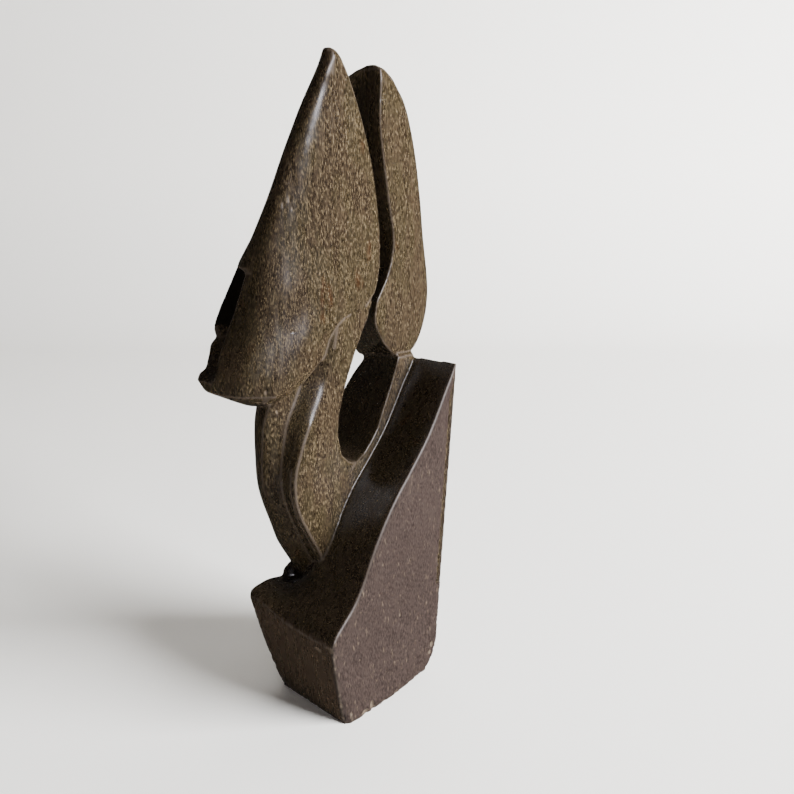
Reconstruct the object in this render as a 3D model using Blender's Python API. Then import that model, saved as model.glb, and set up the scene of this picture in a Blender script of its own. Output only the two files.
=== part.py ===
"""Two pointed stone heads on one slab, carved from a single wedge-shaped block."""
import bmesh
import bpy
import numpy as np
from mathutils import Matrix, Vector

MM = 0.001

# Block, in millimetres. The low end faces +X, the near side with the ledge faces +Y.
FOOT_LENGTH = 62.0
FOOT_WIDTH = 45.8
TOE_HEIGHT = 46.0
HIGH_END_HEIGHT = 160.0
LOW_END_LEAN = 7.0
HIGH_END_LEAN = 13.8
HEEL_KICK = 3.3
HEEL_KICK_HEIGHT = 14.0
HEEL_HEIGHT = 9.0
HEEL_LENGTH = 6.8
TOE_BULGE = 0.75
FAR_SIDE_LEAN = 16.2
FAR_SIDE_RETURN = 2.5
FAR_FOOT_SKEW = 11.0
NEAR_FLARE = 2.5
NEAR_FLARE_HEIGHT = 34.0
NEAR_CORNER = 3.5
TOE_CORNER = 3.0
CUT_MARGIN = 12.0

# Ramp along the block: share of the way from the low end to the high end, then share of the rise
# from the toe to the high end. The shelf is the same surface under the near neck, on the far side.
RAMP_UPPER = ((0.463, 0.456), (0.614, 0.583), (0.768, 0.719), (0.916, 0.898), (1.0, 0.996), (1.13, 1.11))
RAMP_EDGE = (
    (-0.115, -0.14), (-0.006, -0.053), (0.028, -0.004), (0.085, 0.04), (0.174, 0.103), (0.245, 0.183),
    (0.317, 0.29), *RAMP_UPPER,
)
RAMP_SHELF = (
    (-0.115, -0.035), (-0.006, 0.004), (0.058, 0.026), (0.161, 0.035), (0.299, 0.026), (0.379, 0.07),
    (0.463, 0.333), *RAMP_UPPER[1:],
)
SHELF_START = -6.0
SHELF_FULL = -30.0

# How much lower the ramp lies beside the necks than at its near edge, at the high end.
RAMP_FALL = 1.8

# Rounded foot at the front of the shelf, under the near neck.
ROLL_PLACE = 6.0
ROLL_INSET = 2.3
ROLL_LIFT = 3.5
ROLL_RADII = (9.5, 5.5, 5.0)

# Face of each head: the brow's height above the underside, the cut of the cheeks under it, and the
# nose left standing between them.
BROW_HEIGHT = 206.0
BROW_STEP = 1.6
CHEEK_CUT = 3.4
CHEEK_RUN = 24.0
CHIN_HEIGHT = 11.0
CHIN_FADE = 6.0
NOSE_HALF_WIDTH = 4.6
NOSE_WIDTH_SHARE = 0.45
NOSE_ROOT_SHARE = 0.55
NOSE_ROOT_LIFT = 1.0
FOREHEAD_WIDTH_SHARE = 0.62
FOREHEAD_DEPTH_SHARE = 0.42

# Round forms of the face in profile, as shares of its height: where each bulges most, where it
# ends, and how deep its end is cut in. In turn the nose, both ends of the lips, and the chin.
NOTCH_DEPTH = 3.8
PARTING_DEPTH = 2.4
FACE_FORMS = (
    (0.593, 0.478, NOTCH_DEPTH), (0.395, 0.478, NOTCH_DEPTH),
    (0.395, 0.268, PARTING_DEPTH), (0.205, 0.268, PARTING_DEPTH),
)
FACE_SECTIONS = (0.205, 0.245, 0.262, 0.268, 0.274, 0.295, 0.335, 0.43, 0.46, 0.472, 0.478, 0.485, 0.5, 0.54)

# Radius of the soft corner between a head's back and its side, and the hollow down the near neck.
CORNER_SOFTNESS = 4.5
NECK_HOLLOW = 2.6

# Points along one side of a section, and the spacing of the sections.
SIDE_POINTS = 3
SECTION_STEP = 7.0

# Neck stations: height, then back-inner, back-outer, outer side, front-outer and front-inner
# corners as X, Y pairs.
NEAR_NECK = (
    (32.0, (-16, -6), (4, -7), (6, -20), (4, -33), (-14, -33)),
    (50.0, (-18, -6), (9, -9), (12, -22), (9, -35), (-16, -35)),
    (60.0, (-20, -6), (13, -8), (17.5, -23), (13, -36), (-18, -36)),
    (73.0, (-22, -6), (18, -6), (25, -23), (19.5, -36.5), (-20, -37)),
    (83.0, (-24, -6), (23.5, -5.5), (28.9, -22.5), (22.9, -35.8), (-22, -37)),
    (92.0, (-25, -6), (28, -5.5), (32.6, -22.2), (26.1, -35.5), (-23, -37)),
    (103.0, (-24, -6), (31.5, -5.5), (36.4, -22), (29, -35.4), (-22, -37)),
    (109.0, (-14, -5.5), (31.8, -5.5), (37.5, -22), (29.7, -35.4), (-12, -37)),
    (113.5, (-2, -5), (31.5, -5.5), (37.8, -22), (30, -35.4), (-1, -37)),
    (118.0, (2.4, -5), (30.5, -5.5), (37.6, -22), (30.2, -35.2), (4, -36.5)),
    (128.0, (4.6, -5), (26.5, -5.5), (37.1, -21.6), (30.4, -35), (6, -36)),
    (137.0, (3.9, -5), (22, -5.5), (36.5, -21), (30, -35), (5, -36)),
    (146.0, (1.2, -5), (16, -5.5), (33, -20), (29, -34), (3, -36)),
    (155.0, (-2.2, -5), (11, -6), (29, -19), (27, -33), (0, -36)),
    (165.0, (-6.6, -5), (8, -5), (26, -19), (24, -32), (-2, -35)),
    (176.0, (-12.4, -5), (6, -4.2), (22, -19), (20, -31), (-6, -34)),
    (187.0, (-18.6, -5.2), (2, -6.2), (16, -18), (14, -30), (-12, -32)),
    (197.0, (-20.5, -8), (-2, -10), (6, -17), (0, -27), (-15, -28)),
)
FAR_NECK = (
    (60.0, (10, -7), (-30, -7), (-32, -22), (-30, -34), (10, -34)),
    (98.0, (4, -6), (-38, -7), (-41, -22), (-38, -36), (4, -36)),
    (106.0, (0, -5.5), (-40, -7), (-42, -22), (-40, -37), (0, -37)),
    (111.5, (-5.5, -5), (-41, -7), (-43, -22), (-41, -37), (-5, -37)),
    (115.0, (-11.8, -5), (-41.5, -7), (-44, -22), (-42, -37), (-13, -37)),
    (120.0, (-17.0, -5), (-42, -7), (-45, -22), (-43, -37), (-17, -37)),
    (125.0, (-21.3, -5), (-42.5, -7), (-46, -22), (-44, -37), (-20, -37)),
    (132.0, (-24.4, -5), (-43, -7), (-47, -22), (-46, -37), (-24, -37)),
    (140.0, (-28.3, -5), (-44, -6.5), (-48, -22), (-50, -37), (-30, -37)),
    (146.0, (-31.2, -5), (-44.5, -6), (-50, -22), (-52, -37), (-35.5, -36.5)),
    (152.0, (-33.6, -5), (-46, -5.5), (-51.5, -22), (-55, -36), (-41.5, -35.5)),
    (158.5, (-36.0, -5), (-48, -5.5), (-53.8, -21.4), (-57.2, -34.6), (-42.6, -34.4)),
    (162.0, (-37.3, -8.5), (-46.6, -11.5), (-54, -21), (-58, -34), (-43, -34)),
    (172.0, (-40.0, -10), (-48, -13), (-55, -21), (-58, -32), (-44, -32)),
    (182.0, (-42.0, -12), (-48, -15), (-53, -21), (-55, -29), (-45, -29)),
)

# Head stations: height, then keel at the back, back-outer corner, cheek, ridge of the face and
# inner side as X, Y pairs, then how far the back swells.
NEAR_HEAD = (
    (144.6, (34, -27), (36, -27.5), (37.5, -29.5), (36.5, -31.5), (34, -30.5), 0.3),
    (148.0, (33, -16), (41, -20), (44, -31), (42.5, -40), (31, -36), 1.0),
    (152.0, (28, -10.5), (44, -15.5), (50.5, -31.5), (49.3, -45.3), (26, -40), 2.0),
    (157.0, (21.5, -8), (42, -12.5), (52.5, -32.5), (51.3, -48.2), (18, -41.5), 2.6),
    (165.0, (12, -7.5), (38.5, -11), (49.8, -34.5), (44.5, -49.5), (7, -42.5), 3.8),
    (176.0, (3, -7.0), (34.5, -11), (44.5, -35), (39, -52.8), (-5, -43), 4.8),
    (187.0, (-14, -5.2), (31.5, -11.5), (39.2, -35), (33.5, -53), (-12, -43.5), 5.2),
    (192.0, (-20.4, -5.0), (30.6, -11.5), (38.2, -34.5), (30.2, -53), (-14, -43.5), 5.0),
    (198.0, (-22.7, -5), (29.5, -11.5), (37, -33.5), (27.0, -52.5), (-15.5, -43.5), 4.6),
    (208.0, (-24.2, -5), (27.0, -12), (35, -32.5), (22.5, -50), (-17, -43), 4.2),
    (220.0, (-24.0, -5), (25, -12), (31, -28.5), (18.5, -44), (-17, -41), 3.8),
    (240.0, (-21.5, -5), (21, -11), (24, -23.5), (13.3, -36.3), (-15.5, -35.5), 3.0),
    (260.0, (-16.5, -5), (17, -10), (16.8, -20.4), (7.8, -30), (-13, -29.4), 2.2),
    (277.0, (-10.0, -5), (11, -9), (9.3, -18), (3.3, -23.2), (-9, -22), 1.0),
    (286.0, (-5.6, -5), (8, -8.5), (5, -16.2), (0, -20), (-6, -17), 0.8),
    (292.5, (-1.4, -5.2), (4.6, -7.8), (2.4, -14.4), (-0.7, -17.2), (-3.4, -13), 0.5),
    (295.4, (0, -7), (3.6, -8.4), (2.4, -13.2), (0.4, -15), (-1.6, -12), 0.4),
    (296.6, (1.0, -9.6), (2.4, -10), (2.4, -12.2), (1.2, -13), (0, -11.5), 0.1),
)
FAR_HEAD = (
    (150.6, (-57, -30), (-60, -30.5), (-63, -33), (-62, -36), (-58, -34.5), 0.3),
    (154.0, (-45, -13), (-55, -15.6), (-71, -33), (-72, -46), (-43, -40), 1.0),
    (160.0, (-34.5, -7.5), (-54.7, -9.6), (-75.5, -36), (-77, -53), (-39, -42), 1.6),
    (168.0, (-26.0, -6), (-60.6, -9.4), (-77.5, -38), (-76, -57), (-35, -44), 2.2),
    (178.0, (-20.2, -5.5), (-65, -9.7), (-77.5, -38), (-72.5, -59), (-32, -45.5), 2.8),
    (188.0, (-21.5, -5.3), (-66, -9.6), (-76.5, -38), (-70, -59.5), (-32, -46), 2.6),
    (198.0, (-28, -5), (-64.6, -9.2), (-75, -38), (-67, -59), (-33, -46), 2.0),
    (213.0, (-32.8, -5), (-61.7, -9), (-72, -37), (-62, -57), (-34, -45), 1.8),
    (234.0, (-29.5, -5), (-58.7, -8.4), (-65, -35), (-55, -52), (-31, -42), 1.6),
    (253.0, (-26.0, -5), (-54.8, -7.9), (-58, -32), (-48, -46), (-27.5, -36), 1.4),
    (268.0, (-24.0, -5), (-50.2, -7.4), (-52, -29), (-41, -40), (-25.5, -30), 1.2),
    (279.0, (-24.3, -5), (-45.2, -7.1), (-46, -25), (-35, -34), (-25, -24), 1.0),
    (286.5, (-25.0, -5), (-38.2, -7), (-38.5, -20.5), (-30.3, -25.6), (-24.5, -17), 0.6),
    (290.2, (-25.4, -6), (-31.8, -7.7), (-33, -17), (-28.7, -20.7), (-24.6, -14), 0.4),
    (292.4, (-26.8, -11), (-27.6, -11.5), (-28.2, -14), (-27.4, -16), (-26.5, -13.5), 0.05),
)


def clear_scene():
    for item in list(bpy.data.objects):
        bpy.data.objects.remove(item, do_unlink=True)


def share_of(value, full):
    """How much of the full size a value has reached, from 0 to 1."""
    return float(np.clip(value / full, 0, 1))


def smooth_row(places, rows, place):
    """Values at a place, on a smooth curve through the rows."""
    if place <= places[0]:
        return rows[0]
    if place >= places[-1]:
        return rows[-1]
    i = int(np.searchsorted(places, place)) - 1
    span = places[i + 1] - places[i]
    step = (place - places[i]) / span
    rise = rows[i + 1] - rows[i]

    def slope(j):
        if j == 0 or j == len(places) - 1:
            return rise / span
        before = (rows[j] - rows[j - 1]) / (places[j] - places[j - 1])
        after = (rows[j + 1] - rows[j]) / (places[j + 1] - places[j])
        return (before + after) / 2

    start = slope(i) * span
    end = slope(i + 1) * span
    return (
        rows[i]
        + start * step
        + (3 * rise - 2 * start - end) * step ** 2
        + (start + end - 2 * rise) * step ** 3
    )


def unit(vector):
    return vector / max(np.linalg.norm(vector), 1e-9)


def spline_ring(points):
    """Closed outline through points marked sharp or soft, as a list of X, Y."""
    count = len(points)
    places = [np.array(place, dtype=float) for place, sharp in points]
    ring = []
    for i in range(count):
        here = places[i]
        there = places[(i + 1) % count]
        chord = there - here
        reach = np.linalg.norm(chord)
        leave = chord
        if not points[i][1]:
            leave = unit(there - places[i - 1]) * reach
        arrive = chord
        if not points[(i + 1) % count][1]:
            arrive = unit(places[(i + 2) % count] - here) * reach
        for k in range(SIDE_POINTS):
            t = k / SIDE_POINTS
            ring.append(
                here
                + leave * t
                + (3 * chord - 2 * leave - arrive) * t ** 2
                + (leave + arrive - 2 * chord) * t ** 3
            )
    return ring


def halfway(start, end, swell):
    """Middle of a side, pushed out to the right of its direction."""
    along = unit(end - start)
    return (start + end) / 2 + np.array((along[1], -along[0])) * swell


def neck_ring(corners, turn, hollow):
    """Outline of a neck: crisp edges on the inner side and rounded corners elsewhere."""
    back_inner, back_outer, side, front_outer, front_inner = corners
    return spline_ring([
        (back_inner, True),
        (halfway(back_inner, back_outer, -turn * 0.4), False),
        (back_outer, False),
        (halfway(back_outer, side, turn * hollow), False),
        (side, False),
        (front_outer, False),
        (halfway(front_outer, front_inner, -turn * 0.8), False),
        (front_inner, True),
        (halfway(front_inner, back_inner, turn * 0.3), False),
    ])


def profile_offset(height, foot):
    """How far the ridge of the face is cut in, between the round forms of nose, lips and chin."""
    low = (height - foot) / (BROW_HEIGHT - foot)
    for crown, end, depth in FACE_FORMS:
        away = (low - crown) / (end - crown)
        if 0 <= away <= 1:
            return -depth * (1 - np.sqrt(1 - away ** 2))
    return 0.0


def head_ring(height, row, turn, foot):
    """Outline of a head: keel at the back, cheeks cut back beside a narrow nose."""
    keel, outer, cheek, ridge, inner = row[:10].reshape(5, 2)
    swell = row[10] * -turn
    ahead = unit(ridge - keel)
    aside = np.array((-ahead[1], ahead[0])) * turn
    half = float(np.dot(cheek - ridge, aside))
    back = float(np.dot(ridge - cheek, ahead))
    carved = share_of(BROW_HEIGHT - height, BROW_STEP)
    carved *= share_of(height - foot - CHIN_HEIGHT, CHIN_FADE)
    cut = CHEEK_CUT * carved
    smooth_back = back * FOREHEAD_DEPTH_SHARE
    smooth_half = half * FOREHEAD_WIDTH_SHARE
    nose_back = back + cut * NOSE_ROOT_SHARE - NOSE_ROOT_LIFT
    nose_half = min(NOSE_HALF_WIDTH, half * NOSE_WIDTH_SHARE)
    root_back = ahead * (smooth_back + (nose_back - smooth_back) * carved)
    root_half = aside * (smooth_half + (nose_half - smooth_half) * carved)
    crisp = carved > 0
    near_cheek = cheek + unit(outer - cheek) * cut * share_of(CHEEK_RUN + height - BROW_HEIGHT, CHEEK_RUN)
    far_cheek = ridge - aside * half - ahead * (back + cut)
    soft = min(CORNER_SOFTNESS, np.linalg.norm(outer - cheek) / 3)
    return spline_ring([
        (keel, True),
        (halfway(keel, outer, swell), False),
        (outer + unit(keel - outer) * soft, False),
        (outer + unit(cheek - outer) * soft, False),
        (halfway(outer, cheek, swell * 0.5), False),
        (near_cheek, crisp),
        (ridge + root_half - root_back, False),
        (ridge + ahead * profile_offset(height, foot), False),
        (ridge - root_half - root_back, False),
        (far_cheek, crisp),
        (halfway(far_cheek, inner, swell * 0.6), False),
        (inner, False),
        (halfway(inner, keel, -turn * 0.4), False),
    ])


def add_object(name, shape):
    """Object made of a finished bmesh, its faces pointing out."""
    bmesh.ops.recalc_face_normals(shape, faces=shape.faces)
    mesh = bpy.data.meshes.new(name)
    shape.to_mesh(mesh)
    shape.free()
    item = bpy.data.objects.new(name, mesh)
    bpy.context.scene.collection.objects.link(item)
    return item


def loft(name, rings):
    """Closed solid from stacked outlines, each a height and its points."""
    shape = bmesh.new()
    rows = []
    for height, ring in rings:
        rows.append([shape.verts.new((x * MM, y * MM, height * MM)) for x, y in ring])
    for low, high in zip(rows, rows[1:]):
        for i in range(len(low)):
            j = (i + 1) % len(low)
            shape.faces.new((low[i], low[j], high[j], high[i]))
    shape.faces.new(rows[0])
    shape.faces.new(rows[-1])
    bmesh.ops.triangulate(shape, faces=shape.faces)
    return add_object(name, shape)


def section_heights(stations, extra=()):
    """Every station, more between them where they stand far apart, and the extra ones."""
    heights = {stations[0][0]}
    for low, high in zip(stations, stations[1:]):
        count = max(1, round((high[0] - low[0]) / SECTION_STEP))
        heights |= {low[0] + (high[0] - low[0]) * k / count for k in range(1, count + 1)}
    return sorted(heights | set(extra))


def make_neck(name, stations, turn, hollow=0.0):
    heights = [s[0] for s in stations]
    rows = [np.array(s[1:], dtype=float) for s in stations]
    rings = []
    for height in section_heights(stations):
        rings.append((height, neck_ring(smooth_row(heights, rows, height), turn, hollow)))
    return loft(name, rings)


def make_head(name, stations, turn):
    heights = [s[0] for s in stations]
    rows = [np.array([*sum(s[1:6], ()), s[6]], dtype=float) for s in stations]
    foot = heights[0]
    carved = [foot + (BROW_HEIGHT - foot) * low for low in FACE_SECTIONS]
    rings = []
    for height in section_heights(stations, [*carved, BROW_HEIGHT, BROW_HEIGHT - BROW_STEP]):
        rings.append((height, head_ring(height, smooth_row(heights, rows, height), turn, foot)))
    return loft(name, rings)


def low_end_x(height):
    """Low end: it leans out up to the toe, and bulges on the way where TOE_BULGE is under 1."""
    return FOOT_LENGTH / 2 + LOW_END_LEAN * share_of(height, TOE_HEIGHT) ** TOE_BULGE


def high_end_x(height):
    kick = HEEL_KICK * share_of(height, HEEL_KICK_HEIGHT)
    heel = HEEL_LENGTH * (1 - np.sqrt(1 - (1 - share_of(height, HEEL_HEIGHT)) ** 2))
    return heel - kick - FOOT_LENGTH / 2 - HIGH_END_LEAN * height / HIGH_END_HEIGHT


def far_side_y(height):
    """Far side at the low end: it leans out up to the toe, then comes back a little."""
    lean = FAR_SIDE_LEAN * share_of(height, TOE_HEIGHT) ** TOE_BULGE
    return FAR_SIDE_RETURN * share_of(height - TOE_HEIGHT, TOE_HEIGHT) - lean - FOOT_WIDTH / 2


def block_ring(height):
    """Outline of the block before the ramp is cut, from the low end round to the near side."""
    low_x = low_end_x(height)
    high_x = high_end_x(height)
    far_y = far_side_y(height)
    near_y = FOOT_WIDTH / 2
    flare = NEAR_FLARE * (1 - share_of(height, NEAR_FLARE_HEIGHT)) ** 1.5
    skew = FAR_FOOT_SKEW * (1 - share_of(height, TOE_HEIGHT))
    return [
        (low_x, near_y),
        (low_x, far_y + TOE_CORNER),
        (low_x - TOE_CORNER, far_y),
        (high_x, far_y - skew),
        (high_x, near_y),
        (low_x - FOOT_LENGTH / 2, near_y + flare),
        (low_x - NEAR_CORNER, near_y + flare),
    ]


def make_block():
    heights = [HEEL_HEIGHT * (k / 6) ** 1.5 for k in range(7)]
    heights += [HEEL_KICK_HEIGHT, NEAR_FLARE_HEIGHT * 0.6, NEAR_FLARE_HEIGHT * 0.8, NEAR_FLARE_HEIGHT]
    heights += [(NEAR_FLARE_HEIGHT + TOE_HEIGHT) / 2, TOE_HEIGHT, TOE_HEIGHT * 2]
    heights.append(HIGH_END_HEIGHT + CUT_MARGIN)
    return loft("block", [(height, block_ring(height)) for height in sorted(heights)])


def make_roll():
    shape = bmesh.new()
    centre = Vector((ROLL_PLACE, far_side_y(TOE_HEIGHT) + ROLL_INSET, TOE_HEIGHT + ROLL_LIFT))
    place = Matrix.LocRotScale(centre * MM, None, Vector(ROLL_RADII) * MM)
    bmesh.ops.create_uvsphere(shape, u_segments=16, v_segments=10, radius=1, matrix=place)
    return add_object("roll", shape)


def ramp_height(x, y):
    """Height of the ramp: the edge's profile, turning into the shelf's towards the far side."""
    low_x = low_end_x(TOE_HEIGHT)
    along = (low_x - x) / (low_x - high_end_x(HIGH_END_HEIGHT))
    rises = []
    for profile in (RAMP_EDGE, RAMP_SHELF):
        rises.append(smooth_row([p[0] for p in profile], [p[1] for p in profile], along))
    share = share_of(SHELF_START - y, SHELF_START - SHELF_FULL)
    share = share ** 2 * (3 - 2 * share)
    rise = rises[0] + (rises[1] - rises[0]) * share
    fall = RAMP_FALL * share_of(along, 1) * share_of(FOOT_WIDTH / 2 - y, FOOT_WIDTH / 2 - SHELF_START)
    return TOE_HEIGHT + (HIGH_END_HEIGHT - TOE_HEIGHT) * rise - fall


def make_ramp_cutter():
    """Closed solid above the ramp, wider and longer than the block."""
    low_x = low_end_x(TOE_HEIGHT) + CUT_MARGIN
    high_x = high_end_x(HIGH_END_HEIGHT) - CUT_MARGIN
    near_y = FOOT_WIDTH / 2 + CUT_MARGIN
    far_y = far_side_y(TOE_HEIGHT) - CUT_MARGIN
    lid_z = HIGH_END_HEIGHT + 3 * CUT_MARGIN
    xs = np.linspace(high_x, low_x, 72)
    ys = [far_y, *np.linspace(SHELF_FULL, SHELF_START, 5), near_y]
    shape = bmesh.new()
    floor = [[shape.verts.new((x * MM, y * MM, ramp_height(x, y) * MM)) for y in ys] for x in xs]
    lid = [[shape.verts.new((x * MM, y * MM, lid_z * MM)) for y in ys] for x in xs]
    last_x = len(xs) - 1
    last_y = len(ys) - 1
    for i in range(last_x):
        for j in range(last_y):
            shape.faces.new((floor[i][j], floor[i + 1][j], floor[i + 1][j + 1], floor[i][j + 1]))
            shape.faces.new((lid[i][j], lid[i][j + 1], lid[i + 1][j + 1], lid[i + 1][j]))
        for j in (0, last_y):
            shape.faces.new((floor[i][j], floor[i + 1][j], lid[i + 1][j], lid[i][j]))
    for j in range(last_y):
        for i in (0, last_x):
            shape.faces.new((floor[i][j], floor[i][j + 1], lid[i][j + 1], lid[i][j]))
    return add_object("ramp_cutter", shape)


def combine(item, other, operation):
    """Join or cut with another solid, which stays behind as a guide."""
    step = item.modifiers.new(operation.lower(), 'BOOLEAN')
    step.operation = operation
    step.solver = 'EXACT'
    step.object = other
    other.hide_render = True
    other.display_type = 'WIRE'


def stone_material():
    stone = bpy.data.materials.new("polished_dark_stone")
    stone.use_nodes = True
    shader = stone.node_tree.nodes["Principled BSDF"]
    shader.inputs["Base Color"].default_value = (0.075, 0.055, 0.04, 1)
    shader.inputs["Roughness"].default_value = 0.28
    shader.inputs["Metallic"].default_value = 0.0
    return stone


clear_scene()
carving = make_block()
carving.name = "carved_stone"
combine(carving, make_ramp_cutter(), 'DIFFERENCE')
combine(carving, make_roll(), 'UNION')
combine(carving, make_neck("near_neck", NEAR_NECK, 1, NECK_HOLLOW), 'UNION')
combine(carving, make_neck("far_neck", FAR_NECK, -1), 'UNION')
combine(carving, make_head("near_head", NEAR_HEAD, 1), 'UNION')
combine(carving, make_head("far_head", FAR_HEAD, -1), 'UNION')
carving.data.materials.append(stone_material())
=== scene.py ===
"""Looks of a stone carving: two pointed heads on one slab, cut from a wedge-shaped block."""
import math

import bmesh
import bpy
import numpy as np
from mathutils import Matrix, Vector, kdtree, noise


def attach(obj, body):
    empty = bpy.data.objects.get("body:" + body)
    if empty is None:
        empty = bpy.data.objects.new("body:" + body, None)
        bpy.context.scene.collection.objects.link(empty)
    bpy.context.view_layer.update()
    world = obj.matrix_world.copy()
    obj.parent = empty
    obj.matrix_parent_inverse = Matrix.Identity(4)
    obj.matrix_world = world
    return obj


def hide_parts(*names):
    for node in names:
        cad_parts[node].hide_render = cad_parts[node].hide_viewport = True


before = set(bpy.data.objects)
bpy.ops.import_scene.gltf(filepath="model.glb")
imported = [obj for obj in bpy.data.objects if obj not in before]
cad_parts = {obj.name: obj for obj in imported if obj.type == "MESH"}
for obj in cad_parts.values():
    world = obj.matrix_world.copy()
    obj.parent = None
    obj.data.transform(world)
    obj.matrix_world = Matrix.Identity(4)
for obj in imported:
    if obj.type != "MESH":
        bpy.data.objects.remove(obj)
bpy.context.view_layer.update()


# The carving, one piece of dark stone. It is sawn to a block, cut with chisel and rasp, then rubbed
# with finer and finer grit and waxed, so its faces are smooth and slightly wavy and every crisp
# edge is worn to a narrow round. The rough solid is the blank that this rubbing starts from.
MM = 0.001
GRAIN_SIZE = 0.62 * MM
SAME_PLACE = 0.001 * MM
CRISP_ANGLE = math.radians(32)

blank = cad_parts["carved_stone"]
shape = bmesh.new()
shape.from_mesh(blank.data)
bmesh.ops.remove_doubles(shape, verts=shape.verts, dist=SAME_PLACE)
crisp_points = []
for edge in shape.edges:
    if edge.is_manifold and edge.calc_face_angle() > CRISP_ANGLE:
        start, end = (vert.co for vert in edge.verts)
        steps = max(1, math.ceil((end - start).length / GRAIN_SIZE))
        crisp_points += [start.lerp(end, k / steps) for k in range(steps + 1)]
crisp_edges = kdtree.KDTree(len(crisp_points))
for k, point in enumerate(crisp_points):
    crisp_edges.insert(point, k)
crisp_edges.balance()

mesh = bpy.data.meshes.new("stone_carving")
shape.to_mesh(mesh)
shape.free()
carving = bpy.data.objects.new("stone_carving", mesh)
bpy.context.scene.collection.objects.link(carving)


def settle(item):
    """Replace the object's mesh by what its modifiers make, and drop them."""
    result = bpy.data.meshes.new_from_object(
        item.evaluated_get(bpy.context.evaluated_depsgraph_get()))
    item.modifiers.clear()
    item.data = result


remesh = carving.modifiers.new("grains", 'REMESH')
remesh.mode = 'VOXEL'
remesh.voxel_size = GRAIN_SIZE
settle(carving)

places = np.empty(len(carving.data.vertices) * 3)
carving.data.vertices.foreach_get("co", places)
places = places.reshape(-1, 3)
edges = np.empty(len(carving.data.edges) * 2, dtype=np.int64)
carving.data.edges.foreach_get("vertices", edges)
edges = edges.reshape(-1, 2)


def rub(places, edges, passes, softness):
    """Move every vertex towards the mean of its neighbours, by its own share, again and again."""
    ends = np.concatenate([edges[:, 0], edges[:, 1]])
    others = np.concatenate([edges[:, 1], edges[:, 0]])
    count = np.bincount(ends, minlength=len(places))
    for _ in range(passes):
        for axis in range(3):
            along = places[:, axis]
            mean = np.bincount(ends, weights=along[others], minlength=len(places)) / count
            places[:, axis] = along + (mean - along) * softness
    return places


# Rubbing takes the rasp's steps off the open faces, and leaves off towards a crisp edge. The foot
# stays flat.
EDGE_PASSES = 7
OPEN_PASSES = 70
RUBBING = 0.5
CRISP_REACH = 4.5 * MM
reach = np.array([crisp_edges.find(place)[2] for place in places])
openness = np.clip(reach / CRISP_REACH, 0, 1) ** 2
foot = places[:, 2] < GRAIN_SIZE
places = rub(places, edges, EDGE_PASSES, np.where(foot, 0, RUBBING))
places = rub(places, edges, OPEN_PASSES, np.where(foot, 0, RUBBING * openness))

# The ramp's near edge is taken off by a flat, about 2 mm wide, that catches the light. It faces
# midway between the ramp and the side, and is cut this far in from the corner. The corner is
# where the crisp edge lies beyond this depth and between these heights.
FLAT_FACING = np.array((0.566, 0.707, 0.424))
FLAT_CUT = 0.95 * MM
FLAT_REACH = 4 * MM
FLAT_DEPTH = 22.0 * MM
FLAT_HIGH_END = -48 * MM
FLAT_BOTTOM = 45.5 * MM
FLAT_TOP = 158.5 * MM
FLAT_PASSES = 2
FLAT_RUBBING = 0.4
corner = np.array([crisp_edges.find(place)[0] for place in places])
beyond = (places - corner) @ FLAT_FACING + FLAT_CUT
on_flat = (
    (beyond > 0) & (reach < FLAT_REACH) & (corner[:, 0] > FLAT_HIGH_END)
    & (corner[:, 1] > FLAT_DEPTH) & (corner[:, 2] > FLAT_BOTTOM) & (corner[:, 2] < FLAT_TOP))
places = places - np.where(on_flat, beyond, 0)[:, None] * FLAT_FACING
places = rub(places, edges, FLAT_PASSES, np.where(foot, 0, FLAT_RUBBING))
carving.data.vertices.foreach_set("co", places.ravel())
carving.data.update()
facing = np.empty(len(places) * 3)
carving.data.vertex_normals.foreach_get("vector", facing)
facing = facing.reshape(-1, 3)

# What hand rubbing leaves: faces that wave a little, and fine dimples that the grit didn't reach,
# deepest along the near head's front corner. Each is a size across and a height.
WAVE_SIZE = 17 * MM
WAVE_HEIGHT = 0.16 * MM
DIMPLE_SIZE = 3.2 * MM
DIMPLE_HEIGHT = 0.012 * MM
CORNER_DIMPLES = 0.05 * MM
CORNER_REACH = 7 * MM
CORNER_LINE = ((18.3, -11.8, 243.3), (9.6, -11.9, 279.3))
line_start, line_end = (np.array(place) * MM for place in CORNER_LINE)
line = line_end - line_start
share = np.clip((places - line_start) @ line / (line @ line), 0, 1)[:, None]
beside = np.linalg.norm(places - line_start - share * line, axis=1)
roughness = DIMPLE_HEIGHT + CORNER_DIMPLES * np.exp(-(beside / CORNER_REACH) ** 2)
wave = np.array([noise.noise(Vector(place) / WAVE_SIZE) for place in places])
dimple = np.array([noise.noise(Vector(place) / DIMPLE_SIZE) for place in places])
relief = wave * WAVE_HEIGHT * openness + dimple * roughness

# Small chips along the crisp edges of the block's low part, which use has left ragged. A chip opens
# where the noise passes a level, and is full depth a step further. The pale bruise that each mark
# leaves is kept for the colour.
CHIP_SIZE = 2.4 * MM
CHIP_SHIFT = Vector((7, 3, 5))
CHIP_LEVEL = 0.05
CHIP_STEP = 0.4
CHIP_DEPTH = 0.5 * MM
CHIP_REACH = 1.5 * MM
CHIPPED_HEIGHT = 44 * MM
CHIPPED_FADE = 3 * MM
chip = np.array([noise.noise(Vector(place) / CHIP_SIZE + CHIP_SHIFT) for place in places])
chip = np.clip((chip - CHIP_LEVEL) / CHIP_STEP, 0, 1) * np.exp(-(reach / CHIP_REACH) ** 2)
chip *= np.clip((CHIPPED_HEIGHT - places[:, 2]) / CHIPPED_FADE, 0, 1)
relief -= chip * CHIP_DEPTH
bruise = chip

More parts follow.
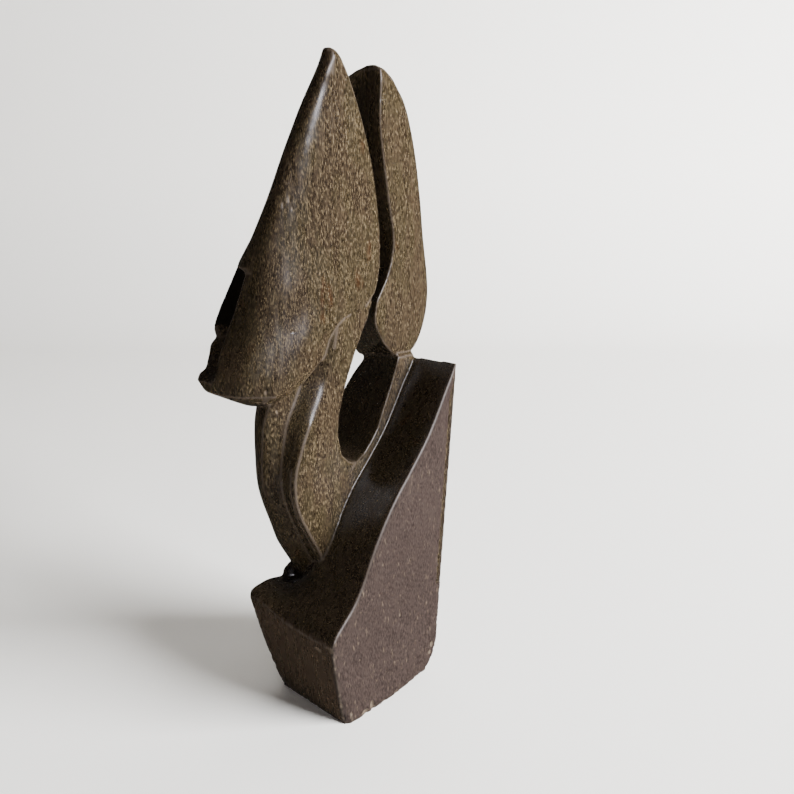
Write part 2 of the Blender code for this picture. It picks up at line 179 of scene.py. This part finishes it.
# Knocks and scratches, in millimetres: middle, half length along the stone's height, half width,
# depth.
KNOCKS = (
    ((39.5, -13.5, 154.5), 1.6, 1.1, 0.55), ((30.8, -17.5, 143.1), 1.3, 0.8, 0.3),
    ((26.8, -9.2, 180.1), 0.7, 0.7, 0.2), ((32.1, -8.5, 115.7), 2.0, 0.6, 0.2),
    ((39.6, -19.3, 148.8), 1.5, 1.5, 0.4), ((-31.2, 23.0, 12.5), 2.2, 1.6, 0.8),
    ((-29.6, 23.1, 8.6), 1.6, 1.4, 0.5), ((19.4, 25.3, 1.2), 1.6, 2.6, 0.9),
    ((14.5, 25.2, 2.3), 3.0, 1.7, 1.4), ((37.0, 21.5, 40.6), 2.0, 1.6, 0.7),
    ((37.0, 12.6, 37.6), 1.5, 3.2, 0.55), ((35.4, -2.5, 24.6), 0.7, 0.7, 0.15),
    ((4.8, 22.9, 71.5), 1.2, 0.6, 0.15), ((-6.9, 22.9, 40.2), 1.5, 0.6, 0.18),
    ((12.3, 22.9, 56.6), 0.8, 0.5, 0.12), ((-14.0, 22.9, 66.9), 1.4, 0.5, 0.15),
    ((-0.8, 23.3, 24.0), 0.8, 0.6, 0.15), ((20.7, 23.1, 29.0), 0.9, 0.6, 0.15),
    ((-21.0, 22.9, 95.9), 1.1, 0.5, 0.12), ((-10.3, 22.9, 83.9), 0.7, 0.6, 0.12),
    ((26.3, -17.3, 229.9), 1.8, 0.5, 0.2), ((24.0, -16.0, 233.2), 2.4, 0.5, 0.22),
    ((21.9, -14.4, 235.6), 2.2, 0.5, 0.2), ((21.4, -13.3, 231.9), 1.4, 0.5, 0.18),
)
for middle, half_length, half_width, depth in KNOCKS:
    from_middle = places - np.array(middle) * MM
    across = np.hypot(from_middle[:, 0], from_middle[:, 1]) / (half_width * MM)
    hollow = np.clip(1 - across ** 2 - (from_middle[:, 2] / (half_length * MM)) ** 2, 0, 1)
    relief -= hollow * depth * MM
    bruise = np.maximum(bruise, np.sqrt(hollow))

# A shallow oval ring is scratched into the near head's front. Its groove's width is a share of the
# ring's own size.
RING_MIDDLE = np.array((21.4, -15.5, 246.4)) * MM
RING_HALF_LENGTH = 4.6 * MM
RING_HALF_WIDTH = 1.9 * MM
RING_GROOVE = 0.22
RING_DEPTH = 0.12 * MM
RING_BRUISE = 0.7
from_middle = places - RING_MIDDLE
around = np.sqrt(
    (from_middle[:, 0] ** 2 + from_middle[:, 1] ** 2) / RING_HALF_WIDTH ** 2
    + from_middle[:, 2] ** 2 / RING_HALF_LENGTH ** 2)
ring = np.exp(-((around - 1) / RING_GROOVE) ** 2)
relief -= RING_DEPTH * ring
bruise = np.maximum(bruise, RING_BRUISE * ring)
places = places + facing * relief[:, None]
places[foot, 2] = 0
carving.data.vertices.foreach_set("co", places.ravel())

# Where the colour differs, in millimetres: the hollowed faces are painted near black as painted
# shade, each ahead of a slanting plane between mouth and brow, with these soft borders. The block's
# low end, which leans by a share of its height, is painted lighter brown as painted light thrown up
# from the floor. The crisp edges are painted paler, partly as wear and partly as painted highlight.
FACE_PLANES = (((0.68, -0.733, 0.28), 105.3), ((-0.667, -0.745, 0.1), 97.6))
FACE_BOTTOM = 178.5
FACE_TOP = 204.6
FACE_SIDE_BORDER = 0.8
FACE_BOTTOM_BORDER = 1.5
FACE_TOP_BORDER = 1.0
LOW_END_FOOT = 29.5
LOW_END_LEAN = 0.152
LOW_END_TOP = 46.0
LOW_END_BORDER = 3.0
LOW_END_SHARE = 0.75
EDGE_WEAR_AND_HIGHLIGHT_WIDTH = 1.1 * MM
height = places[:, 2] / MM
face_shade = np.zeros(len(places))
for direction, level in FACE_PLANES:
    ahead = places @ np.array(direction) / MM - level
    face_shade = np.maximum(face_shade, np.clip(ahead / FACE_SIDE_BORDER + 0.5, 0, 1))
face_shade *= np.clip((height - FACE_BOTTOM) / FACE_BOTTOM_BORDER, 0, 1)
face_shade *= np.clip((FACE_TOP - height) / FACE_TOP_BORDER, 0, 1)
past_end = places[:, 0] / MM - LOW_END_FOOT - LOW_END_LEAN * height
low_end_painted_light = np.clip(past_end, 0, 1) * np.clip((LOW_END_TOP - height) / LOW_END_BORDER, 0, 1)
for name, values in (
    ("face_painted_shade", face_shade),
    ("low_end_painted_light", LOW_END_SHARE * low_end_painted_light),
    ("edge_wear_and_highlight", np.exp(-(reach / EDGE_WEAR_AND_HIGHLIGHT_WIDTH) ** 2)),
    ("bruise", bruise),
):
    carving.data.attributes.new(name, 'FLOAT', 'POINT').data.foreach_set("value", values)

# The grains are far more faces than the shape needs, so they are thinned out.
TRIANGLE_LIMIT = 190000
thin_out = carving.modifiers.new("thin_out", 'DECIMATE')
thin_out.ratio = TRIANGLE_LIMIT / (2 * len(carving.data.polygons))
settle(carving)


# Colours are given as they look on a screen.
def colour(code):
    """Linear colour from an sRGB hex value."""
    parts = [int(code[k:k + 2], 16) / 255 for k in (1, 3, 5)]
    return [p / 12.92 if p <= 0.04045 else ((p + 0.055) / 1.055) ** 2.4 for p in parts] + [1]


def node(tree, kind, settings, links):
    """Add a node with its settings; links are socket name or number to an output or a value."""
    made = tree.nodes.new(kind)
    for name, value in settings.items():
        setattr(made, name, value)
    for name, value in links.items():
        if isinstance(value, bpy.types.NodeSocket):
            tree.links.new(value, made.inputs[name])
        else:
            made.inputs[name].default_value = value
    return made


# Serpentine, rubbed with wet abrasive to a polish and waxed. The eye sees a nearly black brown
# ground full of fine pale upright fibres, rust and olive stains, a duller grey-mauve side with
# longer pale streaks on the block, and small bright reflections along the edges.
stone = bpy.data.materials.new("waxed_dark_serpentine")
stone.use_nodes = True
tree = stone.node_tree
shader = tree.nodes["Principled BSDF"]
where = node(tree, 'ShaderNodeTexCoord', {}, {}).outputs['Object']

# Sizes across and along the upright grain, in millimetres. The real fibres are about 0.2 mm thick
# and are drawn coarser, so that they show.
GRAINS = {"fibre": (0.44, 1.9), "streak": (1.1, 5.0), "cloud": (3.0, 16.0), "stain": (11.0, 34.0)}
GRAIN_DETAIL = 3.0
GRAIN_ROUGHNESS = 0.6
masks = {}
for name, size in GRAINS.items():
    across, along = (1 / (length * MM) for length in size)
    space = node(tree, 'ShaderNodeMapping', {}, {'Vector': where, 'Scale': (across, across, along)})
    masks[name] = node(tree, 'ShaderNodeTexNoise', {}, {
        'Vector': space.outputs[0],
        'Scale': 1.0,
        'Detail': GRAIN_DETAIL,
        'Roughness': GRAIN_ROUGHNESS,
    }).outputs['Fac']
for name in ("edge_wear_and_highlight", "bruise", "low_end_painted_light", "face_painted_shade"):
    masks[name] = node(tree, 'ShaderNodeAttribute', {'attribute_name': name}, {}).outputs['Fac']
masks["side"] = node(tree, 'ShaderNodeSeparateXYZ', {}, {0: where}).outputs[1]

# Each coat covers what lies under it as its mask goes from the first value to the second, and the
# lowest coat names its ground too. The side's mask is the depth in metres, which only the block's
# near side reaches, and what it lays down is the side's own coats.
SIDE_COATS = (
    ("fibre", 0.34, 0.66, "#1c1513", "#3a302c"),
    ("cloud", 0.42, 0.90, None, "#332a26"),
    ("streak", 0.60, 0.76, None, "#584c40"),
)
COATS = (
    ("cloud", 0.36, 0.66, "#241c14", "#2d2318"),
    ("stain", 0.44, 0.56, None, "#282115"),
    ("stain", 0.62, 0.74, None, "#2d1c0e"),
    ("fibre", 0.48, 0.34, None, "#120c07"),
    ("fibre", 0.50, 0.68, None, "#564a38"),
    # Painted light: the low end is painted lighter brown for the light the floor throws up on it.
    ("low_end_painted_light", 0.0, 1.0, None, "#3a2e24"),
    ("side", 0.0205, 0.0226, None, None),
    # Partly wear and partly painted highlight: the crisp edges are painted paler.
    ("edge_wear_and_highlight", 0.35, 1.10, None, "#453c34"),
    ("bruise", 0.30, 1.20, None, "#5f5346"),
    # Painted shade: the hollowed faces are painted near black.
    ("face_painted_shade", 0.0, 1.0, None, "#0b0806"),
)
skins = {}
shares = {}
for skin, coats in (("side", SIDE_COATS), ("whole", COATS)):
    for mask, low, high, under, over in coats:
        shares[mask] = node(tree, 'ShaderNodeMapRange', {'interpolation_type': 'SMOOTHSTEP'}, {
            'Value': masks[mask], 'From Min': low, 'From Max': high,
        }).outputs[0]
        skins[skin] = node(tree, 'ShaderNodeMix', {'data_type': 'RGBA'}, {
            0: shares[mask],
            6: colour(under) if under else skins[skin],
            7: colour(over) if over else skins["side"],
        }).outputs[2]
tree.links.new(skins["whole"], shader.inputs['Base Color'])

# Wax lies unevenly, so the heads' gloss wanders between two values. The side is left duller, and
# the faces are the smoothest.
WAX_PATCHES = (0.35, 0.65)
HEAD_ROUGHNESS = (0.22, 0.34)
SIDE_ROUGHNESS = 0.42
FACE_ROUGHNESS = 0.13
gloss = node(tree, 'ShaderNodeMapRange', {}, {
    'Value': masks["cloud"],
    'From Min': WAX_PATCHES[0],
    'From Max': WAX_PATCHES[1],
    'To Min': HEAD_ROUGHNESS[0],
    'To Max': HEAD_ROUGHNESS[1],
}).outputs[0]
for share, duller in ((shares["side"], SIDE_ROUGHNESS), (masks["face_painted_shade"], FACE_ROUGHNESS)):
    gloss = node(tree, 'ShaderNodeMapRange', {}, {
        'Value': share, 'To Min': gloss, 'To Max': duller,
    }).outputs[0]
tree.links.new(gloss, shader.inputs['Roughness'])

# Wax over stone reflects a little less than bare stone, and the fibres stand proud by a hair.
WAX_IOR = 1.42
FIBRE_HEIGHT = 0.08 * MM
FIBRE_STRENGTH = 0.12
shader.inputs['IOR'].default_value = WAX_IOR
bump = node(tree, 'ShaderNodeBump', {}, {
    'Strength': FIBRE_STRENGTH, 'Distance': FIBRE_HEIGHT, 'Height': masks["fibre"],
})
tree.links.new(bump.outputs[0], shader.inputs['Normal'])

carving.data.materials.clear()
carving.data.materials.append(stone)
carving.data.shade_smooth()
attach(carving, "root")
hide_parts("carved_stone")


# Backdrop: one roll of plain pale paper, lying as the floor and swept up behind, as in a studio.
# It isn't part of the carving.
CAMERA_HEADING = math.radians(132.7)
FLOOR_FRONT = 2.5
FLOOR_BACK = 0.75
SWEEP_RADIUS = 0.25
SWEEP_STEPS = 16
BACKDROP_HEIGHT = 1.1
PAPER_WIDTH = 5.0
PAPER_ROUGHNESS = 0.8
behind = Vector((-math.sin(CAMERA_HEADING), math.cos(CAMERA_HEADING), 0))
sideways = Vector((behind.y, -behind.x, 0))
profile = [(-FLOOR_FRONT, 0), (FLOOR_BACK, 0)]
for k in range(1, SWEEP_STEPS + 1):
    turn = math.pi / 2 * k / SWEEP_STEPS
    profile.append((FLOOR_BACK + SWEEP_RADIUS * math.sin(turn), SWEEP_RADIUS * (1 - math.cos(turn))))
profile.append((FLOOR_BACK + SWEEP_RADIUS, BACKDROP_HEIGHT))
shape = bmesh.new()
rows = []
for away, up in profile:
    middle = behind * away + Vector((0, 0, up))
    rows.append([shape.verts.new(middle + sideways * end * PAPER_WIDTH / 2) for end in (-1, 1)])
for lower, upper in zip(rows, rows[1:]):
    shape.faces.new((lower[0], lower[1], upper[1], upper[0]))
mesh = bpy.data.meshes.new("paper_roll")
shape.to_mesh(mesh)
shape.free()
mesh.shade_smooth()
floor = bpy.data.objects.new("paper_roll", mesh)
bpy.context.scene.collection.objects.link(floor)
paper = bpy.data.materials.new("matt_white_paper")
paper.use_nodes = True
paper_shader = paper.node_tree.nodes["Principled BSDF"]
paper_shader.inputs['Base Color'].default_value = colour("#fbf8f3")
paper_shader.inputs['Roughness'].default_value = PAPER_ROUGHNESS
floor.data.materials.append(paper)


# Light: a large soft light beyond the side with the ledge, low enough to leave the ramp dark, and
# a dim room all round. A higher panel only draws the bright lines that a polished stone shows, so
# the two share the work, and the paper stays out of the polish, as it would in a dark room.
def soft_light(name, size, energy, tint, place, target):
    """Rectangular soft light at a place, aimed at a target, in metres and watts."""
    lamp = bpy.data.lights.new(name, 'AREA')
    lamp.shape = 'RECTANGLE'
    lamp.size, lamp.size_y = size
    lamp.energy = energy
    lamp.color = tint
    item = bpy.data.objects.new(name, lamp)
    bpy.context.scene.collection.objects.link(item)
    item.location = place
    item.rotation_euler = (Vector(target) - Vector(place)).to_track_quat('-Z', 'Y').to_euler()
    return item


soft_box = soft_light(
    "large_soft_box", size=(1.1, 0.6), energy=178, tint=(0.97, 0.985, 1.0),
    place=(-0.72, 1.42, 0.74), target=(0, 0, 0.12))
soft_box.visible_glossy = False
panel = soft_light(
    "high_panel", size=(0.6, 0.5), energy=36, tint=(0.93, 0.92, 1.0),
    place=(0.55, 1.09, 0.96), target=(0, 0, 0.1))
panel.visible_diffuse = False
floor.visible_glossy = False

ROOM_LIGHT = 0.07
room = bpy.data.worlds.new("dim_room")
room.use_nodes = True
room.node_tree.nodes["Background"].inputs['Color'].default_value = colour("#e6d6c2")
room.node_tree.nodes["Background"].inputs['Strength'].default_value = ROOM_LIGHT
bpy.context.scene.world = room


# Camera: behind the low end, a little above the heads, 16 degrees down. It comes close, so what is
# nearer than usual stays in view.
CAMERA_PLACE = (0.2453, 0.25365, 0.248)
CAMERA_PITCH = math.radians(16)
SENSOR = 36.0
LENS = 36.14
NEAREST_SEEN = 0.01
lens = bpy.data.cameras.new("camera")
lens.sensor_width = SENSOR
lens.lens = LENS
lens.clip_start = NEAREST_SEEN
camera = bpy.data.objects.new("camera", lens)
bpy.context.scene.collection.objects.link(camera)
ahead = Vector((
    -math.sin(CAMERA_HEADING) * math.cos(CAMERA_PITCH),
    math.cos(CAMERA_HEADING) * math.cos(CAMERA_PITCH),
    -math.sin(CAMERA_PITCH),
))
camera.location = CAMERA_PLACE
camera.rotation_euler = ahead.to_track_quat('-Z', 'Y').to_euler()
bpy.context.scene.camera = camera
